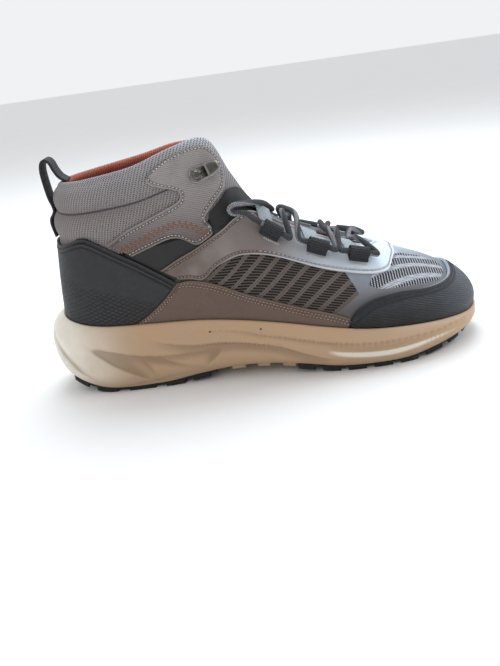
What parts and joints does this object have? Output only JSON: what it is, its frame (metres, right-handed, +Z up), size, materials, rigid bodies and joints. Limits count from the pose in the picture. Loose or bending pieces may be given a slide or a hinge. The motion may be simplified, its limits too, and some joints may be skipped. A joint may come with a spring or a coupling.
{
  "type": "high-top sneaker",
  "caption": "Right-foot high-top trail sneaker with padded collar, lace keepers, speed hooks and a thick lugged sole, standing empty.",
  "frame": {"origin": "point on the floor under the middle of the heel seat, on the flat underside of the heel lugs", "axes": "+X runs to the toe, +Z is up, -Y is the outer (lateral) side of the right foot"},
  "size_m": [0.3021, 0.1049, 0.1591],
  "materials": {
    "knit": "matte padded mesh",
    "lining": "matte brushed mesh",
    "charcoal": "satin moulded cap",
    "taupe": "matte ribbed microfibre",
    "stay": "satin synthetic leather",
    "strip": "matte synthetic suede",
    "patch": "smooth film",
    "foam": "satin moulded foam",
    "rubber": "matte tread rubber",
    "webbing": "ribbed webbing",
    "lace": "round braided cord",
    "metal": "dark plated"
  },
  "bodies": {
    "root": {"upper": "knit", "midsole": "foam", "outsole_heel": "rubber", "outsole_forefoot": "rubber", "insole": "lining", "tongue": "knit", "heel_counter": "charcoal", "toe_cap": "charcoal", "eyestay": "stay", "quarter_strip_lateral": "strip", "quarter_strip_medial": "strip", "ankle_panel_lateral": "taupe", "ankle_panel_medial": "taupe", "instep_patch_lateral": "patch", "instep_patch_medial": "patch", "speed_hook_lateral": "metal", "speed_hook_medial": "metal", "hook_rivet_lateral": "metal", "hook_rivet_medial": "metal", "lace_keeper_lateral_1": "webbing", "lace_keeper_lateral_2": "webbing", "lace_keeper_lateral_3": "webbing", "lace_keeper_medial_1": "webbing", "lace_keeper_medial_2": "webbing", "lace_keeper_medial_3": "webbing", "heel_pull_loop": "webbing", "lace_crossings": "lace", "lace_bight": "lace"}
  },
  "joints": []
}
